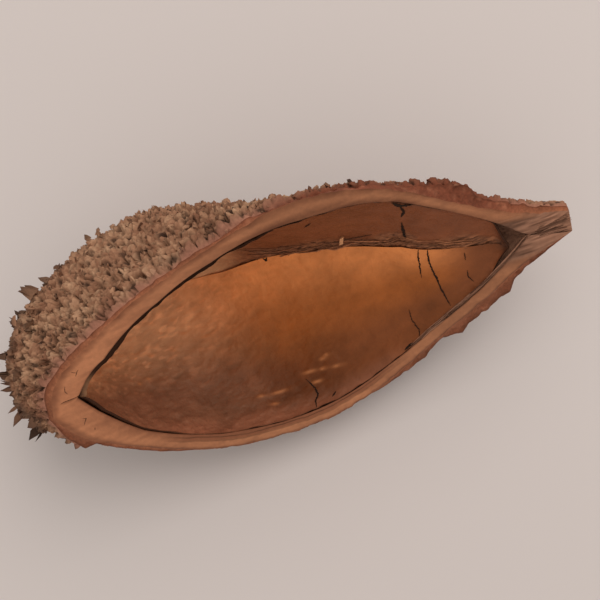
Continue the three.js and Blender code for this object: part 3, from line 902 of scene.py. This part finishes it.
def ledge_share(s, turn):
    """1 on the fibrous ledge between the far panel and the crease, 0 elsewhere"""
    wide = 0.31 + 0.04 * noise(np.stack([s * 140, turn * 0, turn * 0], -1), 5.0, 87)
    return smoothstep(wide, wide + 0.07, turn) * (turn <= 0.5) * smoothstep(0.48, 0.56, s)


def lining_tint(s, turn, point):
    near_share = np.clip((turn - 0.5) / 0.5, 0, 1)
    tint = mix(LINING_BRIGHT, LINING_MID, smoothstep(0.1, 0.46, near_share))
    low = mix(LINING_LOW, LINING_LOW_RIGHT, smoothstep(0.44, 0.62, s))
    tint = mix(tint, low, smoothstep(0.4, 0.7, near_share))
    tint = mix(tint, LINING_RIGHT, smoothstep(0.82, 0.95, s))
    left = mix(LINING_LEFT, LINING_LOW_LEFT, smoothstep(0.26, 0.66, near_share))
    tint = mix(left, tint, smoothstep(0.26, 0.54, s))
    # Far panel light at the blunt end and darker past the middle, then darker still under the far lip:
    # painted shade
    far = mix(LINING_LEFT, LINING_FAR_SHADE, smoothstep(0.44, 0.54, s))
    far = mix(far, LINING_FAR_SHADE * 0.8, smoothstep(0.12, 0.0, turn) * smoothstep(0.5, 0.6, s))
    lip = smoothstep(0.78, 0.95, near_share) * smoothstep(0.08, 0.2, s) * (1 - smoothstep(0.6, 0.75, s))
    tint = mix(tint, LINING_LIP, 0.8 * lip)
    tint = np.where((turn <= 0.5)[..., None], far, tint)
    fibre = 0.32 + 0.48 * noise(point, (4.0, 0.5, 0.5), 88)
    # Ledge darkened towards the crease: painted shade in the crease
    ledge = mix(FIBRE_DARK * 0.8, LINING_LEDGE, fibre) * (1 - 0.75 * smoothstep(0.43, 0.49, turn))[..., None]
    tint = mix(tint, ledge, 0.9 * ledge_share(s, turn))
    cloud = noise(point, 13.0, 89) * 0.16 + noise(point @ SLANT, (8.0, 3.0, 5.0), 90) * 0.08
    # Wrinkle crests painted lighter and their hollows darker, and flecks painted light: painted highlights
    # and shade; the cloud is the skin's own mottling
    tint = tint * (1 + cloud + 0.22 * wrinkles(s, point) + 0.42 * glint_fleck_share(s, turn, point))[..., None]
    # Raised streaks painted light: painted glints
    tint = mix(tint, STREAK_GLINT, 0.6 * glint_streak_share(point))
    # Lining's end darkened towards the stalk: painted shade of the throat
    tint = mix(tint, FIBRE_DARK * 0.9, smoothstep(0.97, 0.995, s))
    # Lips, and broken stretches of the near lip, darkened almost to black: painted shade of the slits along
    # the mouth
    far_lip = np.maximum(smoothstep(0.005, 0.03, turn), 0.45 * (1 - smoothstep(0.04, 0.08, s)))
    broken = smoothstep(0.12, 0.2, s) * smoothstep(-0.3, 0.3, noise(point, 7.0, 97))
    near_lip = np.maximum(smoothstep(0, 0.012, 1 - turn), 0.75 * broken)
    return mix(LINING_FAR_SHADE * 0.2, tint, far_lip * near_lip)


def make_lining():
    shares = np.linspace(0, 1, LINING_STATIONS + 1)[:, None]
    far = np.linspace(0, 0.5, 71)
    near = 0.5 + CREASE_TURN + (0.5 - CREASE_TURN) * np.linspace(0, 1, 121)
    turns = np.r_[far, near][None]
    s, turn = np.broadcast_arrays(shares, turns)
    over = lining_top(s, turn)
    tint = lining_tint(s, turn, over)
    back_turns = turns[:, ::-4]
    behind = UNDER_BACK * smoothstep(0, 0.05, back_turns) * smoothstep(0, 0.05, 1 - back_turns)
    under = lining_point(shares, back_turns, 0.0) - lining_normal(shares, back_turns) * behind[..., None]
    # Underside painted almost black: painted shade seen through the slits
    under_tint = np.broadcast_to(LINING_FAR_SHADE * 0.18, under.shape)
    points = np.concatenate([over, under, over[:, :1]], axis=1)
    tints = np.concatenate([tint, under_tint, tint[:, :1]], axis=1)
    faces = grid_faces(*points.shape[:2], flip=True)
    points = points.reshape(-1, 3)
    make_piece("lining", points, faces, tints.reshape(-1, 3), lining_material, "inner_lining")


make_lining()


# Cracks as thin dark ribbons
def spread_path(path):
    """A path with more points between its corners, and how far along each one is"""
    share = np.linspace(0, 1, 12 * len(path))
    corners = np.linspace(0, 1, len(path))
    return share, *(np.interp(share, corners, [p[k] for p in path]) for k in range(2))


def add_ribbon(points, faces, tints, share, middle, normal, half):
    """Thin dark ribbon lying on a surface, narrow at both ends"""
    side = np.cross(normal, np.gradient(middle, axis=0))
    side /= np.linalg.norm(side, axis=1, keepdims=True) + 1e-9
    wide = half * np.sin(np.pi * np.clip(share, 0.03, 0.97)) ** 0.5 * rng.uniform(0.6, 1.3, len(share))
    first = len(points)
    for k in range(len(share)):
        for across in (-1, 0, 1):
            points.append(middle[k] + side[k] * wide[k] * across - normal[k] * 0.06 * abs(across))
            tints.append(CRACK_DARK)
    faces += grid_faces(len(share), 3, first).tolist()


def make_lining_cracks():
    points, faces, tints = [], [], []
    for path, half in LINING_CRACKS:
        share, s, turn = spread_path(path)
        s = s + 0.0006 * rng.normal(size=len(s)) * np.sin(np.pi * share)
        add_ribbon(points, faces, tints, share, lining_top(s, turn, 0.16), lining_normal(s, turn), half)
    make_piece("lining_cracks", np.array(points), faces, np.array(tints), fibre_material, "inner_lining")


def make_rim_cracks():
    points, faces, tints = [], [], []
    for side, path, half in RIM_CRACKS:
        share, s, f = spread_path(path)
        middle = read_grid(rim_tops[side], s * STATIONS, f * BAND_ROWS) + 0.05 * RIM_UP
        add_ribbon(points, faces, tints, share, middle, np.broadcast_to(RIM_UP, middle.shape), half)
    make_piece("rim_cracks", np.array(points), faces, np.array(tints), fibre_material, "husk")


make_lining_cracks()
make_rim_cracks()


# Loose bright chip on the ledge above the crease
def make_chip():
    s = np.array([0.7, 0.707, 0.706, 0.699])
    turn = np.array([0.385, 0.38, 0.33, 0.335])
    low = lining_top(s, turn, 0.0)
    high = lining_top(s, turn, 0.7)
    faces = [(4, 5, 6, 7)] + [(k, (k + 1) % 4, 4 + (k + 1) % 4, 4 + k) for k in range(4)]
    # Chip sides darken from top to base: painted shade under the chip
    tint = np.vstack([[LINING_LEDGE * 0.5] * 4, [LINING_LEFT] * 4])
    points = np.vstack([low, high])
    make_piece("lining_chip", points, faces, tint, fibre_material, "inner_lining", smooth=False)


make_chip()


# Fibres: thin tapered strands
def add_strand(points, faces, tints, path, radius, tint):
    """Five-sided strand along a path, thin at both ends"""
    path = np.asarray(path)
    along = np.gradient(path, axis=0)
    along /= np.linalg.norm(along, axis=1, keepdims=True) + 1e-9
    side = np.cross(along, RIM_UP)
    side /= np.linalg.norm(side, axis=1, keepdims=True) + 1e-9
    up = np.cross(side, along)
    first = len(points)
    count = len(path)
    for k in range(count):
        thick = radius * (0.25 + 0.75 * math.sin(math.pi * (k + 0.5) / count))
        for corner in range(5):
            angle = 2 * math.pi * corner / 5
            points.append(path[k] + thick * (side[k] * math.cos(angle) + up[k] * math.sin(angle)))
            tints.append(tint)
    for k in range(count - 1):
        for corner in range(5):
            a = first + 5 * k + corner
            b = first + 5 * k + (corner + 1) % 5
            faces.append((a, b, b + 5, a + 5))
    faces.append(tuple(first + corner for corner in range(4, -1, -1)))
    faces.append(tuple(first + 5 * (count - 1) + corner for corner in range(5)))


def make_ledge_fibres():
    points, faces, tints = [], [], []
    for _ in range(46):
        start = rng.uniform(0.5, 0.9)
        length = rng.uniform(0.04, 0.13)
        s = np.linspace(start, min(start + length, 0.985), 14)
        turn = rng.uniform(0.34, 0.475) + 0.018 * np.sin(np.linspace(0, rng.uniform(2, 5), 14))
        path = lining_top(s, turn, rng.uniform(0.05, 0.3))
        tint = mix(FIBRE_DARK, LINING_LEDGE, rng.uniform(0, 1)) * rng.uniform(0.7, 1.2)
        add_strand(points, faces, tints, path, rng.uniform(0.12, 0.3), tint)
    make_piece("crease_fibres", np.array(points), faces, np.array(tints), fibre_material, "inner_lining")


def make_stalk_fibres():
    points, faces, tints = [], [], []
    for _ in range(46):
        start = rng.uniform(70, 80)
        end = rng.uniform(82, 88.4)
        aside = rng.uniform(-1, 1)
        x = np.linspace(start, end, 12)
        room = np.interp(x, [66, 74, 88], [5.4, 3.4, 4.2])
        across = aside * room + 0.3 * np.sin(np.linspace(0, rng.uniform(1, 6), 12))
        depth = np.interp(x, [70, 74, 78, 88], [2.4, 1.2, 0.1, -0.1]) * (1 - 0.6 * aside * aside)
        path = to_lying(x, across, depth + rng.uniform(-0.1, 0.2), SWAY_MOUTH)
        tint = mix(FIBRE_DARK * 0.8, FIBRE_LIGHT, 0.8 * rng.uniform())
        add_strand(points, faces, tints, path, rng.uniform(0.12, 0.3), tint)
    for _ in range(44):
        start = rng.uniform(28, 60)
        x = np.linspace(start, start + rng.uniform(8, 22), 14)
        inset = rng.uniform(0, 1.3) + 0.2 * np.sin(np.linspace(0, rng.uniform(1, 6), 14))
        across = -np.maximum(mouth_half(x, False) - inset, 0)
        path = to_lying(x, across, 0.5 + rng.uniform(-0.3, 0.6), SWAY_MOUTH)
        tint = mix(FIBRE_DARK * 0.8, FIBRE_LIGHT, 0.8 * rng.uniform())
        add_strand(points, faces, tints, path, rng.uniform(0.12, 0.3), tint)
    make_piece("stalk_fibres", np.array(points), faces, np.array(tints), fibre_material, "husk")


make_ledge_fibres()
make_stalk_fibres()


# Floor, light and camera
def make_floor():
    half = 3.0
    mesh = bpy.data.meshes.new("floor")
    corners = [(-half, -half, 0), (half, -half, 0), (half, half, 0), (-half, half, 0)]
    mesh.from_pydata(corners, [], [(0, 1, 2, 3)])
    material = bpy.data.materials.new("floor_paper")
    material.use_nodes = True
    shader = material.node_tree.nodes["Principled BSDF"]
    shader.inputs["Base Color"].default_value = (*srgb(214, 203, 197), 1)
    shader.inputs["Roughness"].default_value = 0.9
    mesh.materials.append(material)
    floor = bpy.data.objects.new("floor", mesh)
    bpy.context.collection.objects.link(floor)


def make_light(name, at, aim, size, power, colour):
    data = bpy.data.lights.new(name, "AREA")
    data.shape = "DISK"
    data.size = size
    data.energy = power
    data.color = colour
    light = bpy.data.objects.new(name, data)
    light.location = at
    light.rotation_euler = (Vector(aim) - Vector(at)).to_track_quat("-Z", "Y").to_euler()
    bpy.context.collection.objects.link(light)


def make_camera():
    right = Vector(CAMERA_RIGHT).normalized()
    back = right.cross(Vector(CAMERA_UP)).normalized()
    up = back.cross(right)
    data = bpy.data.cameras.new("camera")
    data.lens = LENS_MM
    data.sensor_width = 36
    camera = bpy.data.objects.new("camera", data)
    turn = Matrix((right, up, back)).transposed().to_4x4()
    camera.matrix_world = Matrix.Translation(Vector(CAMERA_AT)) @ turn
    bpy.context.collection.objects.link(camera)
    bpy.context.scene.camera = camera


make_floor()
make_light("key", (0.42, 0.48, 0.95), (0.02, 0, 0.03), 1.1, 5, (1.0, 0.97, 0.95))
world = bpy.data.worlds.new("studio")
world.use_nodes = True
world.node_tree.nodes["Background"].inputs["Color"].default_value = (1.0, 0.97, 0.95, 1)
world.node_tree.nodes["Background"].inputs["Strength"].default_value = 0.655
bpy.context.scene.world = world
bpy.context.scene.view_settings.view_transform = "Standard"
make_camera()
